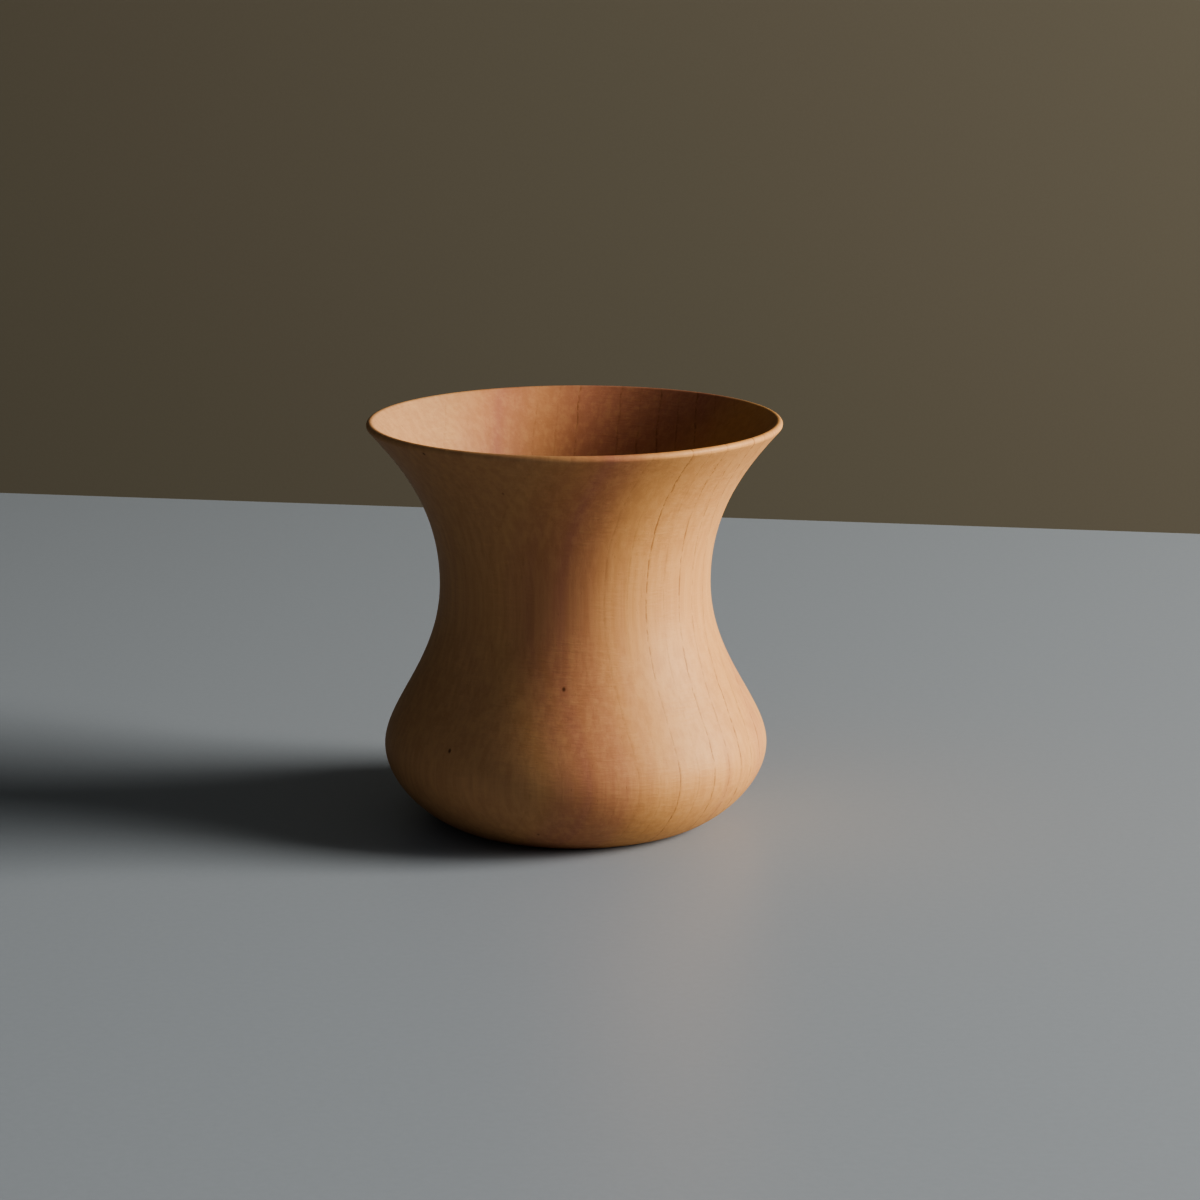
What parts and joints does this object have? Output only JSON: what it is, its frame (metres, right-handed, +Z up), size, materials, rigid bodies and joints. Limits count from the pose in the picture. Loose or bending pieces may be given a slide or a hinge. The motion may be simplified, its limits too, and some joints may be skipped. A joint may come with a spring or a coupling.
{
  "type": "sake cup",
  "caption": "Turned wooden drinking cup with a flared thin lip, a narrow waist, a round belly and a shallow foot ring.",
  "frame": {"origin": "centre of the foot ring, on the surface that the cup stands on", "axes": "+Z up along the axis of turning, towards the mouth; +X and +Y are alike"},
  "size_m": [0.064, 0.064, 0.063],
  "materials": {
    "wood": "satin clear finish over straight grain"
  },
  "bodies": {
    "root": {"turned_cup": "wood"}
  },
  "joints": []
}
